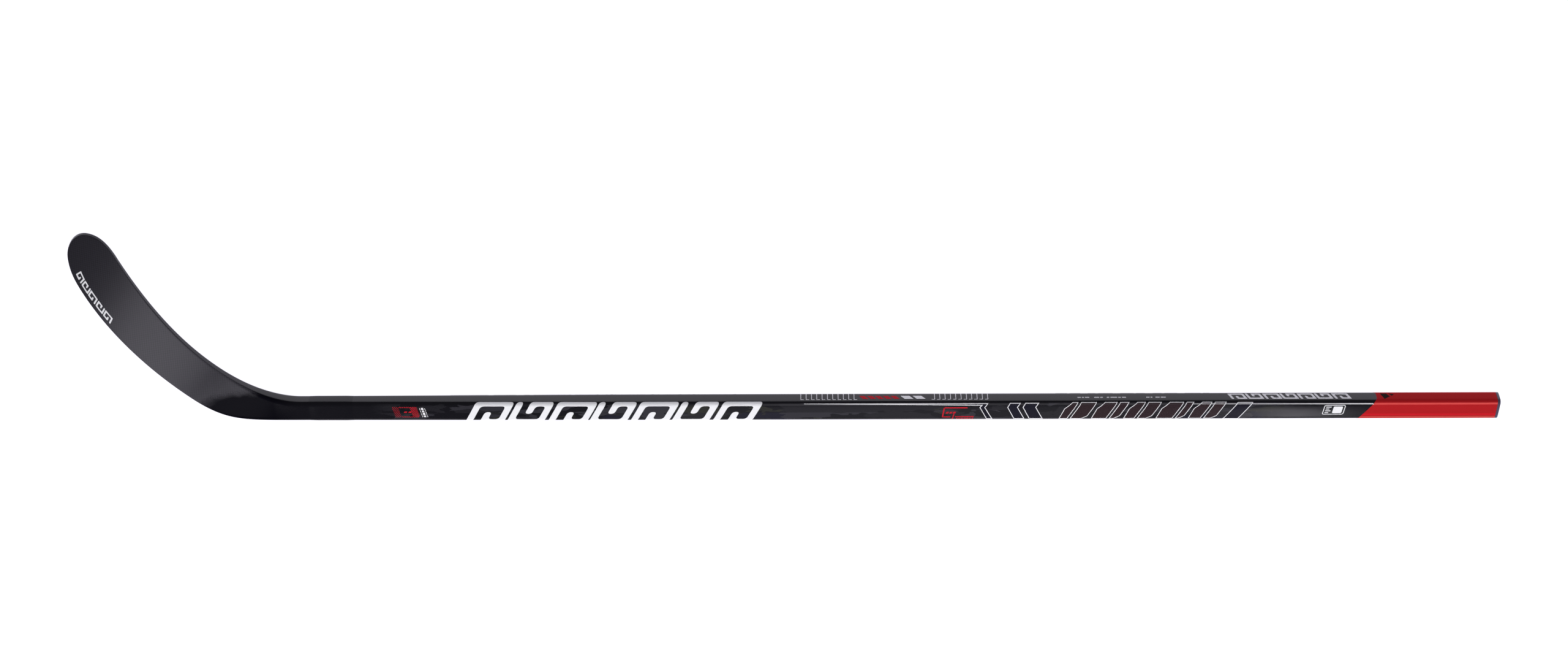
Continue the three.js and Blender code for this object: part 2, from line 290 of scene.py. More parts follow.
def blade_carbon(name, shine):
    """Satin carbon weave, a fine check of tows, under black lacquer sprayed on at the neck.

    shine holds specular levels from 100 mm up the neck (0) to 100 mm down the blade (1).
    """
    paint = Paint(name, SLATE, 0.27)
    tow = 1.9
    checks = paint.node(
        "ShaderNodeTexChecker",
        {
            "Vector": paint.flat((1 / tow, 1 / tow)),
            "Scale": 1.0,
            "Color1": (0.0060, 0.0054, 0.0085, 1),
            "Color2": (0.0250, 0.0234, 0.0315, 1),
        },
    )
    cloud = paint.noise(paint.flat((0.02, 0.03)))
    woven = paint.mix(cloud, checks.outputs["Color"], (0.0155, 0.0143, 0.020))
    # Up the neck, counted as X, the lacquer's shine comes back.
    along, across = paint.split(paint.flat())
    x = paint.math("MULTIPLY", across, math.sin(BLADE_ANGLE))
    x = paint.math("SUBTRACT", x, paint.math("MULTIPLY", along, math.cos(BLADE_ANGLE)))
    neck = paint.math("MULTIPLY", paint.soft_step(x, 50, 92), 0.4)
    # The lacquer's edge leans back towards the heel's top and is broken up by drops.
    across = paint.math("MINIMUM", across, 55)
    slope = paint.math("ADD", paint.math("MULTIPLY", across, 0.0075), 0.08)
    edge = paint.math("ADD", along, paint.math("MULTIPLY", across, slope))
    drift = paint.math("MULTIPLY", paint.noise(paint.flat((0.06, 0.06))), 16)
    speckle = paint.math("MULTIPLY", paint.noise(paint.flat((1.4, 1.4)), detail=1.0), 9)
    edge = paint.math("ADD", edge, paint.math("ADD", drift, speckle))
    bare = paint.soft_step(edge, 42, 55)
    paint.link(paint.mix(bare, INK, woven), "Base Color")
    grain = paint.math("MULTIPLY", checks.outputs["Fac"], bare)
    paint.bump(grain, 0.1, 0.00005)
    rough = paint.node("ShaderNodeMapRange", {"Value": bare, "To Min": 0.13, "To Max": 0.29})
    paint.link(rough.outputs[0], "Roughness")
    share = paint.math("MULTIPLY", paint.math("ADD", edge, 100), 1 / 200)
    level = paint.ramp(share, [(at, (value,) * 3) for at, value in shine])
    paint.link(paint.math("MAXIMUM", level, neck), "Specular IOR Level")
    return paint.material


def print_ink(name, color, roughness, worn, specular=0.5):
    """Screen print: an even colour, a little thinner in places."""
    paint = Paint(name, color, roughness, specular)
    specks = paint.noise(paint.flat((0.5, 0.5)), detail=6.0)
    paint.link(paint.ramp(specks, [(0.35, worn), (0.5, color)]), "Base Color")
    paint.vary_roughness(paint.flat((0.1, 0.1)), roughness - 0.05, roughness + 0.08)
    return paint.material


def red_paint():
    """Red paint with painted highlights: paler lines along its edges and a band of brighter red
    between them.
    """
    body = (0.445, 0.0118, 0.0158)
    # Each painted highlight's middle as a distance round the face, its half width and its colour.
    painted_highlights = (
        (11.1, 1.6, (0.80, 0.085, 0.080)),
        (-9.7, 1.7, (0.56, 0.064, 0.056)),
        (-5.6, 1.7, (0.58, 0.0105, 0.020)),
    )
    paint = Paint("red_paint", body, 0.35, 0.03)
    _, s = paint.split(paint.flat())
    half = PERIMETER / 2
    folded = paint.math("FLOORED_MODULO", paint.math("ADD", s, half / 2), half)
    folded = paint.math("SUBTRACT", folded, half / 2)
    color = paint.mix(paint.noise(paint.flat((0.01, 0.06))), body, (0.42, 0.0112, 0.015))
    # Paints highlights into the base colour: paler lines on the two corners and a brighter band on
    # the face.
    for centre, width, tone in painted_highlights:
        distance = paint.math("ABSOLUTE", paint.math("SUBTRACT", folded, centre))
        color = paint.mix(paint.soft_step(distance, width, 0.4 * width), color, tone)
    paint.link(color, "Base Color")
    paint.vary_roughness(paint.flat((0.05, 0.05)), 0.32, 0.42)
    return paint.material


def darker(color, share):
    return tuple(c * share for c in color)


def moulded(name, color, roughness):
    """Plastic or rubber with a fine grain."""
    paint = Paint(name, color, roughness)
    vector = paint.solid(0.4)
    paint.link(paint.mix(paint.noise(vector, 0.2), color, darker(color, 0.8)), "Base Color")
    paint.bump(paint.noise(vector, 4.0), 0.15)
    paint.vary_roughness(vector, roughness - 0.05, roughness + 0.08)
    return paint.material


def foam(name, color):
    """Closed-cell foam."""
    paint = Paint(name, color, 0.85)
    cells = paint.node("ShaderNodeTexVoronoi", {"Vector": paint.solid(1.2), "Scale": 1.0})
    distance = cells.outputs["Distance"]
    paint.link(paint.mix(distance, color, darker(color, 0.72)), "Base Color")
    paint.bump(distance, 0.6)
    return paint.material


def laminate(name, color, roughness):
    """Fibres along the shaft, in resin."""
    paint = Paint(name, color, roughness)
    here = paint.node("ShaderNodeTexCoord").outputs["Object"]
    fibres = paint.node("ShaderNodeMapping", {"Vector": here, "Scale": (20, 1600, 1600)}).outputs[0]
    streaks = paint.noise(fibres)
    paint.link(paint.mix(streaks, color, darker(color, 0.6)), "Base Color")
    paint.bump(streaks, 0.2)
    return paint.material


def resin(name, color):
    """Glue with faint bubbles."""
    paint = Paint(name, color, 0.25)
    bubbles = paint.node("ShaderNodeTexVoronoi", {"Vector": paint.solid(0.6), "Scale": 1.0})
    distance = bubbles.outputs["Distance"]
    paint.link(paint.mix(distance, color, darker(color, 0.8)), "Base Color")
    paint.vary_roughness(paint.solid(0.2), 0.18, 0.32)
    return paint.material


# ---- Mesh helpers ----


def add_object(name, mesh, material, angle=35):
    mesh.materials.append(material)
    mesh.shade_smooth()
    mesh.set_sharp_from_angle(angle=math.radians(angle))
    made = bpy.data.objects.new(name, mesh)
    bpy.context.scene.collection.objects.link(made)
    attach(made, "root")
    return made


def loft(name, rings, flats, material, looped=False, band=None):
    """A solid of rings (lists of row-frame points) with flat coordinates for each point.

    band is (first, last, material): the strips between these points have their own material.
    """
    bm = bmesh.new()
    layer = bm.loops.layers.uv.new(FLAT)
    verts = [[bm.verts.new(p) for p in ring] for ring in rings]
    size = len(rings[0])
    # A ring round the shaft starts at s = 0, so its last strip ends one turn further on.
    goes_round = flats[0][0][1] == 0 and flats[0][-1][1] > PERIMETER / 2
    spans = len(rings) if looped else len(rings) - 1
    for i in range(spans):
        k = (i + 1) % len(rings)
        for j in range(size):
            m = (j + 1) % size
            face = bm.faces.new((verts[i][j], verts[i][m], verts[k][m], verts[k][j]))
            face.material_index = 1 if band and band[0] <= j < band[1] else 0
            for loop, (a, b) in zip(face.loops, ((i, j), (i, m), (k, m), (k, j))):
                x, s = flats[a][b]
                if goes_round and m == 0 and b == 0:
                    s += PERIMETER
                loop[layer].uv = (x, s)
    if not looped:
        bm.faces.new(list(reversed(verts[0])))
        bm.faces.new(verts[-1])
    bmesh.ops.recalc_face_normals(bm, faces=bm.faces)
    mesh = bpy.data.meshes.new(name)
    bm.to_mesh(mesh)
    bm.free()
    piece = add_object(name, mesh, material)
    if band:
        mesh.materials.append(band[2])
    return piece


# ---- Shaft section ----


def half_thickness(x):
    along = (x - JOINT_X) / (TAPER_START - JOINT_X)
    return lerp(NECK_THICKNESS, SHAFT_THICKNESS, min(1, max(0, along))) / 2


def legs_of(half):
    """Lengths round the section: flats and corners in turn, from the backhand middle."""
    wide = HALF_WIDTH - SHAFT_CORNER
    narrow = 2 * (half - SHAFT_CORNER)
    corner = SHAFT_CORNER * QUARTER
    return [wide, corner, narrow, corner, 2 * wide, corner, narrow, corner, wide]


WIDE_CROWN = 0.2
NARROW_CROWN = 0.06
PERIMETER = sum(legs_of(SHAFT_THICKNESS / 2))
# From the middle of a wide face to the middle of its corner, round the section.
FACE_EDGE = 13.5


def round_section(s, half, lift=0.0):
    """(y, z) of a point s mm round a section, raised by lift. The flats are slightly crowned."""
    legs = legs_of(half)
    s %= sum(legs)
    y, z = 0.0, half
    heading = 0.0
    for i, leg in enumerate(legs):
        part = min(s, leg)
        cos, sin = math.cos(heading), math.sin(heading)
        if i % 2 == 0:
            reach = leg if i in (0, len(legs) - 1) else leg / 2
            middle = {0: 0, len(legs) - 1: leg}.get(i, leg / 2)
            share = (part - middle) / reach
            crown = WIDE_CROWN if i % 4 == 0 else NARROW_CROWN
            rise = crown * (1 - share * share)
            y += cos * part
            z -= sin * part
            turned = heading + math.atan(2 * crown * share / reach)
        else:
            rise = 0
            turned = heading + part / SHAFT_CORNER
            y += SHAFT_CORNER * (math.sin(turned) - sin)
            z += SHAFT_CORNER * (math.cos(turned) - cos)
            heading += QUARTER
        s -= part
        if s <= 1e-9:
            break
    up = lift + rise
    return y + up * math.sin(turned), z + up * math.cos(turned)


def on_shaft(x, s, lift):
    y, z = round_section(s, half_thickness(x), lift)
    return place(x, y, z)


CORNER_STEPS = 12
FLAT_STEPS = 4


def section_stops(half):
    """Distances round a section where its surface mesh has points."""
    stops = []
    at = 0.0
    for i, leg in enumerate(legs_of(half)):
        count = CORNER_STEPS if i % 2 else FLAT_STEPS
        stops += [at + leg * k / count for k in range(count)]
        at += leg
    return stops


def shaft_ring(x, lift, half=None):
    half = half_thickness(x) if half is None else half
    stops = section_stops(half)
    points = [place(x, *round_section(s, half, lift)) for s in stops]
    return points, [(x, s) for s in stops]


def steps(start, end, longest):
    count = max(1, math.ceil(abs(end - start) / longest))
    return [lerp(start, end, i / count) for i in range(count + 1)]


def make_rings(stations):
    """Rings and flat coordinates for (x, lift) or (x, lift, half) stations."""
    pairs = [shaft_ring(*station) for station in stations]
    return [p[0] for p in pairs], [p[1] for p in pairs]


# ---- Shaft pieces ----


def shaft_shell(material):
    start = JOINT_X + GAP / 2
    outer = steps(start, TAPER_START, 40) + steps(TAPER_START, SHAFT_END, 60)[1:]
    stations = [(x, 0) for x in outer]
    stations += [(x, -WALL) for x in (SHAFT_END, TAPER_START)]
    stations += [(x, -WALL, NECK_THICKNESS / 2) for x in (200, start)]
    piece = loft("shaft_shell", *make_rings(stations), material, looped=True)
    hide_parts("shaft_tube")


def joint_sleeve(material):
    """A thin lacquered wrap that feathers out over the joint."""
    top = 0.28
    under = 0.04
    stations = []
    for x in steps(WRAP_START, WRAP_END, 3):
        edge = min(x - WRAP_START, WRAP_END - x) / 9
        stations.append((x, lerp(under + 0.02, top, smoothstep(edge)), wrap_half(x)))
    stations += [(x, under, wrap_half(x)) for x in steps(WRAP_END, WRAP_START, 15)]
    piece = loft("joint_sleeve", *make_rings(stations), material, looped=True)
    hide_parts("joint_wrap")


def wrap_half(x):
    return half_thickness(max(x, JOINT_X))


def butt_cap(material):
    """Plug with a flat face, a small rounded rim and a hollow insert."""
    insert = WALL + BOND + GAP
    face = SHAFT_END + 0.12
    mouth = SHAFT_END - PLUG_INSERT
    proud = 0.05
    lip = 0.35
    rim = 0.9
    stations = [(face, -insert - PLUG_WALL), (mouth, -insert - PLUG_WALL), (mouth, -insert - 0.6)]
    stations += [(mouth + 3, -insert), (face, -insert)]
    turns = [QUARTER * k / 6 for k in range(7)]
    stations += [(face + lip * math.sin(a), proud - lip * math.cos(a)) for a in turns]
    for a in turns:
        stations.append((BUTT_END - rim * (1 - math.sin(a)), proud - rim * (1 - math.cos(a))))
    stations += [(BUTT_END, -3.2), (BUTT_END - 0.35, -3.6)]
    piece = loft("butt_cap", *make_rings(stations), material)
    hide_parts("butt_end_plug")


# ---- Prints on the shaft ----


# Top and underside of a print over the lacquer, and of a ground colour and the lines on it.
PRINT_LIFT = 0.1
PRINT_BASE = 0.02
GROUND_LIFT = 0.06
OVER_GROUND = 0.05


def cut(bm, point, normal):
    geometry = bm.verts[:] + bm.edges[:] + bm.faces[:]
    bmesh.ops.bisect_plane(bm, geom=geometry, plane_co=point, plane_no=normal, dist=1e-5)


def shaft_decal(name, shapes, material, lift=PRINT_LIFT, base=PRINT_BASE):
    """A thin closed skin on the shaft. shapes are outlines in (x, s), each counter-clockwise."""
    bm = bmesh.new()
    for outline in shapes:
        bm.faces.new([bm.verts.new((x, s, 0)) for x, s in outline])
    bmesh.ops.remove_doubles(bm, verts=bm.verts, dist=1e-4)
    bm.normal_update()
    bmesh.ops.triangulate(bm, faces=bm.faces)
    # Cut where the shaft's own surface has points, so that the skin follows it.
    low, high = min(v.co.y for v in bm.verts), max(v.co.y for v in bm.verts)
    half = half_thickness(sum(v.co.x for v in bm.verts) / len(bm.verts))
    around = sum(legs_of(half))
    cuts = [s + turn * around for s in section_stops(half) for turn in (-2, -1, 0, 1, 2)]
    for s in cuts:
        if low < s < high:
            cut(bm, (0, s, 0), (0, 1, 0))
    for x in steps(JOINT_X, TAPER_START, 40):
        cut(bm, (x, 0, 0), (1, 0, 0))
    thicken(name, bm, on_shaft, material, lift, base)


def thicken(name, bm, surface, material, lift, base):
    """Maps a flat mesh of (a, b) points onto a surface and closes it into a thin skin."""
    layer = bm.loops.layers.uv.new(FLAT)
    for face in bm.faces:
        face.normal_update()
    bmesh.ops.reverse_faces(bm, faces=[f for f in bm.faces if f.normal.z < 0])
    flat = {v: (v.co.x, v.co.y) for v in bm.verts}
    under = {v: bm.verts.new(surface(*flat[v], base)) for v in list(flat)}
    top_faces = list(bm.faces)
    sides = [e for e in bm.edges if len(e.link_faces) == 1]
    side_loops = [(e.link_loops[0].vert, e.link_loops[0].link_loop_next.vert) for e in sides]
    for face in top_faces:
        for loop in face.loops:
            loop[layer].uv = flat[loop.vert]
        low = bm.faces.new([under[v] for v in reversed(face.verts[:])])
        for loop, v in zip(low.loops, reversed(face.verts[:])):
            loop[layer].uv = flat[v]
    for a, b in side_loops:
        wall = bm.faces.new((b, a, under[a], under[b]))
        for loop, v in zip(wall.loops, (b, a, a, b)):
            loop[layer].uv = flat[v]
    for v, (a, b) in flat.items():
        v.co = surface(a, b, lift)
    bmesh.ops.recalc_face_normals(bm, faces=bm.faces)
    mesh = bpy.data.meshes.new(name)
    bm.to_mesh(mesh)
    bm.free()
    piece = add_object(name, mesh, material, 50)


SLANT = 0.49
ROUND_STEPS = 5


def slanted(points, slant=SLANT):
    return [(x + slant * s, s) for x, s in points]


def box(x0, s0, x1, s1):
    return [(x0, s0), (x1, s0), (x1, s1), (x0, s1)]


# Where along the shaft the forehand's prints are turned.
STROKE_CENTRE = 452
BLOCK_CENTRE = 1090


def turned_to_forehand(shapes, centre):
    """The same shapes on the forehand face, turned half a turn about centre."""
    return [[(2 * centre - x, PERIMETER / 2 - s) for x, s in shape] for shape in shapes]


def rounded(points, radius):
    """Rounds each corner of a closed outline."""
    made = []
    for i, here in enumerate(points):
        a, p, b = Vector(points[i - 1]), Vector(here), Vector(points[(i + 1) % len(points)])
        reach = min(radius, (a - p).length * 0.49, (b - p).length * 0.49)
        start = p + (a - p).normalized() * reach
        end = p + (b - p).normalized() * reach
        for k in range(ROUND_STEPS + 1):
            t = k / ROUND_STEPS
            made.append(tuple(start * (1 - t) ** 2 + p * 2 * t * (1 - t) + end * t * t))
    return made


def inset(points, depth):
    """A closed counter-clockwise outline drawn in by depth, with mitred corners."""
    made = []
    for i, here in enumerate(points):
        a, p, b = Vector(points[i - 1]), Vector(here), Vector(points[(i + 1) % len(points)])
        first = (p - a).normalized()
        second = (b - p).normalized()
        n1 = Vector((-first.y, first.x))
        n2 = Vector((-second.y, second.x))
        made.append(tuple(p + (n1 + n2) * (depth / max(0.2, 1 + n1.dot(n2)))))
    return made


def ring_faces(points, width):
    """A closed line of some width along the inside of an outline."""
    inner = inset(points, width)
    ends = points[1:] + points[:1]
    inner_ends = inner[1:] + inner[:1]
    return [list(corners) for corners in zip(points, ends, inner_ends, inner)]


def meander(path, riser, bar, radius):
    """A winding stroke along level and upright legs. A stroke's end is cut square."""
    left, right = [], []
    for i, p in enumerate(path):
        normals = []
        if i:
            normals.append(side_step(path[i - 1], p, riser, bar))
        if i + 1 < len(path):
            normals.append(side_step(p, path[i + 1], riser, bar))
        shift = (sum(n[0] for n in normals), sum(n[1] for n in normals))
        left.append((p[0] + shift[0], p[1] + shift[1]))
        right.append((p[0] - shift[0], p[1] - shift[1]))
    return rounded(right + left[::-1], radius)


def key_pattern(x, count, pitch, top, end, riser, bar, radius, slant):
    """A running key pattern: strokes that wind inwards, every other one upside down."""
    made = []
    for i in range(count):
        flip = -1 if i % 2 else 1
        wide = pitch * (0.77, 0.74, 0.79, 0.75)[i % 4]
        core = wide * 0.45
        path = [(0, -end), (0, top), (wide, top), (wide, -top), (core, -top), (core, 0.1 * top)]
        path = [(x + pitch * i + u, flip * v) for u, v in path]
        made.append(slanted(meander(path, riser, bar, radius), slant))
    return made


def side_step(a, b, riser, bar):
    """Half the stroke's width to the left of an upright or level leg."""
    if abs(b[0] - a[0]) < 1e-6:
        return (-math.copysign(riser / 2, b[1] - a[1]), 0)
    return (0, math.copysign(bar / 2, b[0] - a[0]))


def shifted(shapes, dx, ds):
    return [[(x + dx, s + ds) for x, s in shape] for shape in shapes]


def side_strokes():
    """A small key pattern on the toe-side face."""
    return shifted(key_pattern(1197, 7, 20.6, 3.7, 4.8, 3.0, 2.1, 1.2, -SLANT), 0, 22.6)


def side_marks(x, count, pitch, length):
    """Slanted bars on the toe-side face."""
    bars = [box(x + pitch * i, -2.8, x + pitch * i + length, 2.6) for i in range(count)]
    return shifted([slanted(bar, -0.9) for bar in bars], 0, 22.2)


def side_notes():
    """A fine line of dashes on the toe-side face."""
    groups = (
        (1014, (4, 2.5, 5)),
        (1034, (6, 3)),
        (1049, (3, 8, 3, 5)),
        (1096, (4, 2)),
        (1107, (5, 6)),
    )
    made = []
    for x, lengths in groups:
        for length in lengths:
            made.append(box(x, 20.4, x + length, 21.9))
            x += length + 1.3
    return made


def big_stroke_shapes():
    """A key pattern that covers the wide face and turns over both edges."""
    return key_pattern(294, 7, 49.2, 12.9, 15.6, 8.2, 5.4, 4.2, SLANT)


def block_outlines():
    """Slanted blocks with cut corners, each split in two."""
    made = []
    low, high = -11.3, 14
    corner = 5
    for i, share in enumerate((12, 20, 15, 22, 17)):
        left = 996 + 38.6 * i
        right = left + 34
        end = left + share
        start = end + 3.2
        first = [(left + 2, low), (end, low), (end, high), (left + corner, high), (left, high - 9)]
        second = [(start, low), (right - corner, low), (right, low + 4.4)]
        second += [(right, high), (start, high)]
        made += [slanted(first), slanted(second)]
    return made


def chevrons():
    """Two shapes that point at the blade."""
    made = []
    for left, width in ((930.2, 12.9), (948.5, 16.4)):
        right = left + width
        outline = [(left, 7.4), (left + 8.6, -11.1), (right + 8.6, -11.1)]
        outline += [(right - 0.4, 7.4), (right + 3.2, 13.3), (left + 3, 13.3)]
        made.append(outline)
    return made


TIP_START = (810, 11.21)


def wedge_tail():
    """A long wedge that ends in a slanted tail, from where it has room for two lines."""
    upper = [(907.6, 13.0), (TIP_START[0], 13.0), TIP_START, (832, 11.0)]
    return upper + [(899.3, 10.0), (897.1, 7.4), (906.1, -11.2), (913.4, -11.2), (903.9, 7.1)]


def wedge_tip():
    """The wedge's thin tip, which is all line."""
    return [(TIP_START[0], 13.0), (688, 13.0), (688, 12.4), TIP_START]


def ruler(x, foot):
    """A row of upright ticks, each with a short foot ahead (1) or behind (-1)."""
    low, line, reach, high = 18.2, 0.7, 3.9, 30
    tick = [(0, low), (reach, low), (reach, low + line)]
    tick += [(line, low + line), (line, high), (0, high)]
    if foot < 0:
        tick = [(line - u, s) for u, s in reversed(tick)]
    return [[(x + 6.34 * i + u, s) for u, s in tick] for i in range(11)]


def hatch(left, right, low, high, pitch, width):
    """Diagonal lines that fill a leaning patch."""
    lean, slope = -0.2, 0.75
    made = []
    c = left - slope * high
    while c < right - slope * low:
        start = max(low, (left - c) / (slope - lean))
        end = min(high, (right - c) / (slope - lean))
        if end - start > 0.6:
            a, b = c + slope * start, c + slope * end
            made.append([(a, start), (a + width, start), (b + width, end), (b, end)])
        c += pitch
    return made


def hatch_patch():
    """A leaning patch: fine diagonals, two dotted rows and a bolder hatched end."""
    low, high = -7.2, 9.4
    made = hatch(198.5, 206, low, high, 2.3, 0.55)
    made += hatch(206, 220, low, low + 1.7, 2.1, 0.9)
    made += hatch(206, 220, high - 1.7, high, 2.1, 0.9)
    made += hatch(219.6, 227.6, low, high, 2.1, 1.0)
    made += [slanted(box(210.5 + 5.4 * i, 0.2, 213.8 + 5.4 * i, 2.4), 0.5) for i in range(2)]
    return made


def hatch_notes():
    """Rows of dashes that run across the shaft beside the patch."""
    rows = (
        (231, 0.7, (1.5, 2.6, 1.2, 2.2, 2.8)),
        (233, 2.6, (2.6, 3.6, 2.4, 3.2)),
        (237, 0.7, (2.2, 1.4, 2.8, 1.6, 2)),
    )
    made = []
    for x, width, lengths in rows:
        s = -6.6
        for length in lengths:
            made.append(slanted(box(x, s, x + width, s + length), -0.2))
            s += length + 0.9
    return made


def red_label():
    """An open frame with three marks inside and a scale below it."""
    made = [rounded(box(855.5, 5.9, 883, 7.6), 0.8)]
    made.append(slanted(rounded(box(853.6, -8.2, 855.3, 6.6), 0.8), 0.12))
    made.append(rounded(box(853.4, -8.4, 863, -6.9), 0.7))
    made.append(rounded(box(868.5, -8.2, 891, -6.6), 0.7))
    made.append(slanted(box(867, -11.6, 868.4, -3.2), 0.2))
    made += [slanted(box(858 + 4.2 * i, -2.4, 861 + 4.2 * i, 0.6), SLANT) for i in range(3)]
    made += [box(870 + 1.9 * i, -11.8, 871 + 1.9 * i, -9.4) for i in range(11)]
    return made


def badge():
    """A small outlined label with bars and a plain block."""
    lean = 0.12
    made = ring_faces(slanted(rounded(box(1307, -5.4, 1332.5, 9.4), 2.6), lean), 0.9)
    for i in range(4):
        s = 2.9 * i - 3
        made.append(slanted(box(1309.6, s, 1314 + (i % 2) * 2, s + 1.2), lean))
    made.append(slanted(rounded(box(1318.5, -3.2, 1329.6, 7.2), 1.6), lean))
    return made


def pinstripe():
    return [[(1150, 11.4), (1366.5, 10.5), (1365.5, 11.8), (1150, 11.8)]]


def red_marks():
    """Two small dark shapes on the toe-side face."""
    return [
        [(1375.5, 26.8), (1379.5, 17.2), (1386.5, 21.5), (1383, 26.8)],
        [(1385.5, 26.8), (1389, 22.6), (1392, 25.6)],
    ]


def red_edge(s):
    """Where the red begins, at a distance s round the section."""
    corners = ((-FACE_EDGE, 1349.5), (FACE_EDGE, 1367.8), (18, 1370.5), (26.7, 1370.5))
    corners += ((31.2, 1367.8), (58.2, 1349.5), (62.6, 1346.5), (71.4, 1346.5))
    corners += ((PERIMETER - FACE_EDGE, 1349.5),)
    s = (s + FACE_EDGE) % PERIMETER - FACE_EDGE
    k = min(len(corners) - 2, max(0, bisect_right([c[0] for c in corners], s) - 1))
    (s0, x0), (s1, x1) = corners[k], corners[k + 1]
    return lerp(x0, x1, (s - s0) / (s1 - s0))


def red_end(material):
    """The painted end of the shaft, a thin skin with a slanting front edge."""
    half = SHAFT_THICKNESS / 2
    stops = section_stops(half)
    count = 9
    rings, flats = [], []
    for lift, order in ((0.05, range(count)), (0.01, range(count - 1, -1, -1))):
        for i in order:
            xs = [lerp(red_edge(s), SHAFT_END, i / (count - 1)) for s in stops]
            rings.append([place(x, *round_section(s, half, lift)) for x, s in zip(xs, stops)])
            flats.append(list(zip(xs, stops)))
    piece = loft("red_butt_paint", rings, flats, material, looped=True)


# ---- Blade ----


BEZIER_STEPS = 48


def bezier(a, b, c, d):
    made = []
    for i in range(BEZIER_STEPS + 1):
        t = i / BEZIER_STEPS
        u = 1 - t
        w = (u**3, 3 * u * u * t, 3 * u * t * t, t**3)
        made.append(tuple(sum(k * p[j] for k, p in zip(w, (a, b, c, d))) for j in (0, 1)))
    return made


class Outline:
    """A chain of points that is read by the share of its length."""

    def __init__(self, *curves):
        self.points = list(curves[0])
        for curve in curves[1:]:
            self.points += curve[1:]
        self.lengths = [0.0]
        for a, b in zip(self.points, self.points[1:]):
            self.lengths.append(self.lengths[-1] + math.dist(a, b))
        self.length = self.lengths[-1]

    def at(self, share):
        want = min(1, max(0, share)) * self.length
        k = min(len(self.points) - 2, max(0, bisect_right(self.lengths, want) - 1))
        t = (want - self.lengths[k]) / (self.lengths[k + 1] - self.lengths[k])
        return between(self.points[k], self.points[k + 1], t)

    def direction(self, share):
        a = Vector(self.at(max(0, share - 0.002)))
        b = Vector(self.at(min(1, share + 0.002)))
        return (b - a).normalized()


BEND_X = 88
HEEL_ROUND = (52, -HALF_WIDTH)
HEEL = (-44, 21.5)
THROAT = (-3, 62.5)
TOE_LOW = (-154, 161.5)
TOE_HIGH = (-101.5, 206.5)
TOE_FRONT = (-164, 199)
TOE_TIP = (-135, 234)
NECK = JOINT_X - GAP / 2

ZONES = [
    {
        "steps": 2,
        "lower": Outline([(NECK, -HALF_WIDTH), (BEND_X, -HALF_WIDTH)]),
        "upper": Outline([(NECK, HALF_WIDTH), (BEND_X, HALF_WIDTH)]),
        "thin": lambda f: (0, 0),
    },
    {
        "steps": 12,
        "lower": Outline(
            [(BEND_X, -HALF_WIDTH), HEEL_ROUND],
            bezier(HEEL_ROUND, (8, -HALF_WIDTH), (-11, -12), HEEL),
        ),
        "upper": Outline(bezier((BEND_X, HALF_WIDTH), (66, HALF_WIDTH), (33, 25), THROAT)),
        "thin": lambda f: (smoothstep(f), 0),
    },
    {
        "steps": 12,
        "lower": Outline(bezier(HEEL, (-84.5, 62.5), (-129, 112), TOE_LOW)),
        "upper": Outline(bezier(THROAT, (-32.5, 93), (-64, 134.5), TOE_HIGH)),
        "thin": lambda f: (1, 0.8 * f),
    },
    {
        "steps": 12,
        "lower": Outline(
            bezier(TOE_LOW, (-159, 171.5), (-164, 182), TOE_FRONT),
            bezier(TOE_FRONT, (-164, 216), (-151, 234), TOE_TIP),
        ),
        "upper": Outline(bezier(TOE_HIGH, (-113.5, 232), (-126, 234), TOE_TIP)),
        "thin": lambda f: (1, 0.8 + 0.2 * f),
    },
]
# Positions along the blade, in stations: the heel's corner, the start of the toe rail at the
# bottom and at the top, and the toe's tip.
HEEL_AT = 14
TOE_AT = 26
TOE_TOP_AT = 28
TIP_AT = 38


class Station:
    """One line across the stick, at a position counted in the CAD's stations."""

    def __init__(self, position):
        start = 0
        for zone in ZONES:
            if position <= start + zone["steps"] or zone is ZONES[-1]:
                break
            start += zone["steps"]
        f = (position - start) / zone["steps"]
        neck, blade = zone["thin"](f)
        self.lower = zone["lower"].at(f)
        self.upper = zone["upper"].at(f)
        low, high = zone["lower"].direction(f), zone["upper"].direction(f)
        self.lower_in = (low.y, -low.x)
        self.upper_in = (-high.y, high.x)
        self.thickness = lerp(lerp(NECK_THICKNESS, HEEL_THICKNESS, neck), TOE_THICKNESS, blade)
        self.lip = RAIL_LIP + lerp(lerp(SHAFT_CORNER, HEEL_EDGE, neck), TOE_EDGE, blade)
        self.round = lerp(SHAFT_CORNER, BLADE_ROUND, neck)
        self.skin = lerp(NECK_SKIN, BLADE_SKIN, neck)

    def side(self, name, depth):
        at, inward = (self.lower, self.lower_in) if name == "lower" else (self.upper, self.upper_in)
        return at[0] + inward[0] * depth, at[1] + inward[1] * depth


def along_across(x, y):
    """Distance along the blade from the heel, and up from its bottom edge."""
    low = y + HALF_WIDTH
    return (
        low * math.sin(BLADE_ANGLE) - x * math.cos(BLADE_ANGLE),
        low * math.cos(BLADE_ANGLE) + x * math.sin(BLADE_ANGLE),
    )


def mid_surface(x, y):
    along, across = along_across(x, y)
    turned = min(1, max(0, (along - TWIST_START) / TWIST_LENGTH))
    lean = math.tan(TWIST * turned) * (across - TWIST_HEIGHT)
    return lean - CURVE_RATE * max(0, along - CURVE_START) ** 2


def on_blade(x, y, level):
    """A point of the blade and its neck, where the faces take on the shaft's crown."""
    share = min(1, abs(y) / (HALF_WIDTH - SHAFT_CORNER))
    fade = smoothstep((x - HEEL_ROUND[0]) / (WRAP_START - HEEL_ROUND[0]))
    crown = WIDE_CROWN * fade * (1 - share * share)
    return place(x, y, mid_surface(x, y) + level + math.copysign(crown, level))


EDGE_STEPS = 9


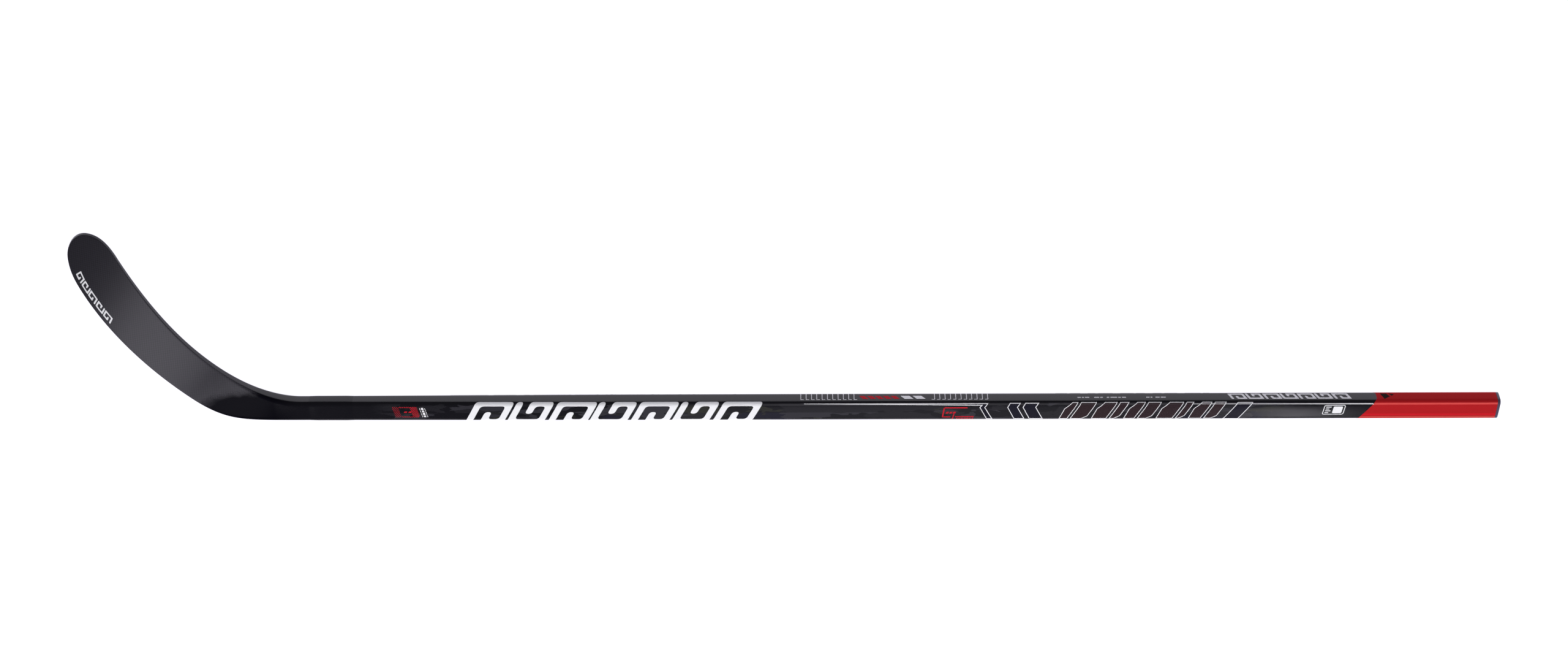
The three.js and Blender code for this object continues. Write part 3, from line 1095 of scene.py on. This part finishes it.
def rail_ring(position, side):
    """Round the edge from one lip to the other. The flat coordinates unroll it to its middle."""
    station = Station(position)
    half, radius = station.thickness / 2, station.round
    profile = [(station.lip, -half)]
    for i in range(EDGE_STEPS + 1):
        turn = QUARTER * i / EDGE_STEPS
        profile.append((radius * (1 - math.sin(turn)), radius * (1 - math.cos(turn)) - half))
    profile.append((0, 0))
    reach = station.lip
    unrolled = [reach]
    for a, b in zip(profile, profile[1:]):
        reach -= math.dist(a, b)
        unrolled.append(reach)
    profile += [(depth, -level) for depth, level in profile[-2::-1]]
    unrolled += unrolled[-2::-1]
    points, flats = [], []
    for (depth, level), flat_depth in zip(profile, unrolled):
        x, y = station.side(side, depth)
        points.append(on_blade(x, y, level))
        flats.append(along_across(*station.side(side, flat_depth)))
    return points, flats


def rail(name, node, parts, material, edge_material):
    """A rail along stretches of the outline: (from, to, side) in order."""
    pairs = []
    for start, end, side in parts:
        stretch = [rail_ring(p, side) for p in steps(start, end, 0.34)]
        pairs += stretch[1:] if pairs else stretch
    # The edge's own look covers the outermost third of the rounding.
    middle = EDGE_STEPS + 2
    band = (middle - 4, middle + 4, edge_material)
    piece = loft(name, [p[0] for p in pairs], [p[1] for p in pairs], material, band=band)
    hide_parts(node)


def skin(name, node, sign, material):
    """One face of the blade, between the rails, with its thickness."""
    columns = 28
    pairs = []
    last = TIP_AT - 1
    finer = [last + k for k in (0.25, 0.5, 0.7, 0.84, 0.93, 0.98)]
    for position in steps(0, last, 0.34) + finer:
        station = Station(position)
        start, end = station.side("lower", station.lip), station.side("upper", station.lip)
        row = [between(start, end, i / columns) for i in range(columns + 1)]
        outer = sign * station.thickness / 2
        inner = outer - sign * station.skin
        top = [on_blade(x, y, outer) for x, y in row]
        bottom = [on_blade(x, y, inner) for x, y in reversed(row)]
        flats = [along_across(x, y) for x, y in row]
        pairs.append((top + bottom, flats + flats[::-1]))
    piece = loft(name, [p[0] for p in pairs], [p[1] for p in pairs], material)
    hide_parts(node)


def blade_point(u, v, sign, lift):
    """A point u mm along the bottom edge past the heel corner and v mm up the face."""
    first = ZONES[2]["lower"].length
    second = ZONES[3]["lower"].length
    if u <= first:
        position = lerp(HEEL_AT, TOE_AT, u / first)
    else:
        position = lerp(TOE_AT, TIP_AT, (u - first) / second)
    station = Station(position)
    x, y = station.side("lower", v)
    return on_blade(x, y, sign * (station.thickness / 2 + lift))


def blade_decal(name, shapes, material, sign=1):
    """A thin closed skin on the blade. shapes are outlines in blade_point's (u, v)."""
    bm = bmesh.new()
    for outline in shapes:
        bm.faces.new([bm.verts.new((u, v, 0)) for u, v in outline])
    bm.normal_update()
    bmesh.ops.triangulate(bm, faces=bm.faces)
    low, high = min(v.co.x for v in bm.verts), max(v.co.x for v in bm.verts)
    for u in steps(low, high, 3)[1:-1]:
        cut(bm, (u, 0, 0), (1, 0, 0))

    def surface(u, v, lift):
        return blade_point(u, v, sign, lift)

    thicken(name, bm, surface, material, PRINT_LIFT, PRINT_BASE)


# ---- Studio ----
LIGHT_TINT = (0.94, 0.91, 1)
FLOOR_TINT = (0.93, 0.91, 1)
FLOOR_GLOW = 1.1


def softbox(name, centre, size, aim, radiance, shine=True, spin=0):
    """A rectangular light that faces aim. Without shine it isn't seen in reflections."""
    data = bpy.data.lights.new(name, "AREA")
    data.shape = "RECTANGLE"
    data.size, data.size_y = size
    data.color = LIGHT_TINT if shine else (1, 1, 1)
    data.energy = radiance * math.pi * size[0] * size[1]
    light = bpy.data.objects.new(name, data)
    centre, aim = Vector(centre), Vector(aim)
    back = (centre - aim).normalized()
    side = Vector((1, 0, 0))
    side = (side - back * side.dot(back)).normalized()
    turn = Matrix((side, back.cross(side), back)).transposed().to_4x4()
    spun = Matrix.Rotation(math.radians(spin), 4, "Z")
    light.matrix_world = Matrix.Translation(centre) @ turn @ spun
    light.visible_glossy = shine
    bpy.context.scene.collection.objects.link(light)


def make_world():
    """A dim room, white below the horizon to go on from the floor."""
    world = bpy.data.worlds.new("studio")
    bpy.context.scene.world = world
    world.use_nodes = True
    nodes, links = world.node_tree.nodes, world.node_tree.links
    where = nodes.new("ShaderNodeTexCoord").outputs["Generated"]
    height = nodes.new("ShaderNodeSeparateXYZ")
    links.new(where, height.inputs[0])
    ramp = nodes.new("ShaderNodeValToRGB")
    below, above = ramp.color_ramp.elements
    below.position, below.color = 0.0, (*FLOOR_TINT, 1)
    above.position, above.color = 0.004, (0.102, 0.1, 0.109, 1)
    links.new(height.outputs[2], ramp.inputs[0])
    background = nodes["Background"]
    links.new(ramp.outputs[0], background.inputs["Color"])
    background.inputs["Strength"].default_value = FLOOR_GLOW


def make_floor():
    side = 8
    bm = bmesh.new()
    bmesh.ops.create_grid(bm, x_segments=4, y_segments=4, size=side)
    mesh = bpy.data.meshes.new("floor")
    bm.to_mesh(mesh)
    bm.free()
    paint = Paint("floor_white", (0.12, 0.12, 0.12), 0.9, 0.0)
    paint.shader.inputs["Emission Color"].default_value = (*FLOOR_TINT, 1)
    paint.shader.inputs["Emission Strength"].default_value = FLOOR_GLOW
    mesh.materials.append(paint.material)
    floor = bpy.data.objects.new("floor", mesh)
    floor.location.z = cad_box[0][2] - 0.0005
    bpy.context.scene.collection.objects.link(floor)


def make_lights():
    softbox("ceiling", (0.35, -0.1, 1.8), (1.0, 1.9), (0.35, -0.1, 0), 0.7)
    softbox("back_wall", (0.6, -2.2, 0.75), (3.2, 0.5), (0.4, 0, 0.3), 0.8)
    softbox("shaft_glow", (0.2, -2.06, 1.6), (1.2, 0.6), (0.1, -0.11, 0.01), 0.3)
    softbox("butt_glow", (1.125, -2.22, 1.6), (0.09, 0.44), (0.61, -0.11, 0.01), 5.5)
    softbox("blade_glow", (-1.785, -1.585, 1.6), (1.12, 0.56), (-0.78, -0.03, 0.02), 2.7, spin=-42)
    softbox("fill", (0.1, -1.3, 2.1), (4.6, 1.5), (0, -0.1, 0), 3.5, shine=False)


# ---- Build ----

make_camera()
make_world()
make_floor()
make_lights()

lacquer = shaft_lacquer()
joint_black = gloss_black("joint_lacquer", 0.16)
carbon = blade_carbon("blade_carbon", ((0.71, 0.02), (0.73, 0.1), (0.78, 0.5)))
carbon_edge = blade_carbon("edge_resin", ((0.45, 0.5), (0.8, 0.42), (1, 0.3)))
white = print_ink("white_print", (0.87, 0.87, 0.89), 0.3, (0.83, 0.83, 0.86))
grey = print_ink("grey_print", (0.76, 0.76, 0.78), 0.35, (0.66, 0.66, 0.68))
maroon = print_ink("maroon_print", (0.022, 0.010, 0.013), 0.25, (0.017, 0.008, 0.011), 0.35)
navy = print_ink("navy_print", (0.0062, 0.0058, 0.0145), 0.2, (0.005, 0.0048, 0.011), 0.3)
# Red paint whose colour carries painted highlights along the corners.
red = red_paint()
red_ink = print_ink("red_print", (0.52, 0.0100, 0.0230), 0.35, (0.40, 0.009, 0.019), 0.08)
soot = print_ink("dark_print", (0.016, 0.0035, 0.0045), 0.5, (0.010, 0.003, 0.004), 0.05)

shaft_shell(lacquer)
joint_sleeve(joint_black)
red_end(red)
# Dark plastic, its colour lightened to lilac-grey as a painted reflection of the sheen along the
# cap's rim.
butt_cap(moulded("butt_plastic", (0.075, 0.068, 0.115), 0.34))

skin("blade_face_backhand", "blade_skin_backhand", 1, carbon)
skin("blade_face_forehand", "blade_skin_forehand", -1, carbon)
rail("blade_edge_bottom", "blade_bottom_rail", [(0, TOE_AT, "lower")], carbon, carbon_edge)
rail("blade_edge_top", "blade_top_rail", [(0, TOE_TOP_AT, "upper")], carbon, carbon_edge)
round_toe = [(TOE_AT, TIP_AT, "lower"), (TIP_AT, TOE_TOP_AT, "upper")]
rail("blade_edge_toe", "blade_toe_rail", round_toe, carbon, carbon_edge)

strokes = big_stroke_shapes()
shaft_decal("stroke_print", strokes, white)
turned = turned_to_forehand(strokes, STROKE_CENTRE)
shaft_decal("stroke_print_forehand", turned, white)

blocks = block_outlines()
block_lines = [face for outline in blocks for face in ring_faces(outline, 0.75)]
shaft_decal("block_print", blocks, maroon, lift=GROUND_LIFT)
shaft_decal("block_lines", block_lines, white, base=OVER_GROUND)
turned = turned_to_forehand(blocks, BLOCK_CENTRE)
shaft_decal("block_print_forehand", turned, maroon, lift=GROUND_LIFT)
turned = turned_to_forehand(block_lines, BLOCK_CENTRE)
shaft_decal("block_lines_forehand", turned, white, base=OVER_GROUND)

panel = slanted(box(1196, -12.8, 1214.5, 13.6), 0.62)
outlined = [wedge_tail(), panel] + chevrons()
shaft_decal("panel_print", outlined, navy, lift=GROUND_LIFT)
lines = [face for outline in outlined for face in ring_faces(outline, 0.85)] + [wedge_tip()]
shaft_decal("panel_lines", lines, white, base=OVER_GROUND)

shaft_decal("hatch_print", hatch_patch(), red_ink)
shaft_decal("hatch_notes", hatch_notes(), white)
shaft_decal("red_label", red_label(), red_ink)
shaft_decal("badge_print", badge(), white)
shaft_decal("pinstripe", pinstripe(), white)
shaft_decal("pinstripe_forehand", shifted(pinstripe(), 0, PERIMETER / 2), white)
shaft_decal("ruler_ticks", ruler(684, 1) + ruler(843.4, -1), white)
shaft_decal("red_marks", red_marks(), soot, lift=0.12, base=0.06)
shaft_decal("side_strokes", side_strokes(), grey)
shaft_decal("side_strokes_back", shifted(side_strokes(), 0, PERIMETER / 2), grey)
shaft_decal("side_marks_red", side_marks(756, 5, 9.3, 6.6), red_ink)
shaft_decal("side_marks_white", side_marks(805.5, 2, 14.4, 10.6), white)
shaft_decal("side_notes", side_notes(), grey)
marks = shifted(key_pattern(131, 5, 14.3, 3.2, 4.2, 2.2, 1.8, 0.9, SLANT), 0, 9.6)
blade_decal("blade_marks", marks, white)
blade_decal("blade_marks_forehand", marks, white, sign=-1)

inner_looks = {
    "butt_plug_glue": (resin("hot_melt_glue", (0.62, 0.47, 0.20)), "hot_melt_glue"),
    "tenon_bond": (resin("epoxy", (0.50, 0.36, 0.14)), "epoxy"),
    "blade_tenon": (laminate("tenon_laminate", (0.30, 0.34, 0.26), 0.5), "glass_laminate"),
    "heel_insert": (laminate("heel_laminate", (0.33, 0.36, 0.27), 0.5), "glass_laminate"),
    "bridge_rib": (laminate("rib_carbon", (0.035, 0.034, 0.04), 0.4), "carbon_rib"),
    "lower_foam_core": (foam("blade_foam", (0.78, 0.72, 0.56)), "blade_foam"),
    "upper_foam_core": (foam("blade_foam_upper", (0.78, 0.72, 0.56)), "blade_foam"),
    "shaft_foam_bung": (foam("bung_foam", (0.70, 0.70, 0.66)), "bung_foam"),
    "toe_insert": (moulded("toe_rubber", (0.016, 0.016, 0.018), 0.7), "toe_rubber"),
}
for node, (look, slot) in inner_looks.items():
    part = frame["nodes"][node]
    part.data.materials.clear()
    part.data.materials.append(look)

bpy.context.view_layer.update()
bpy.context.scene.view_settings.view_transform = "Standard"
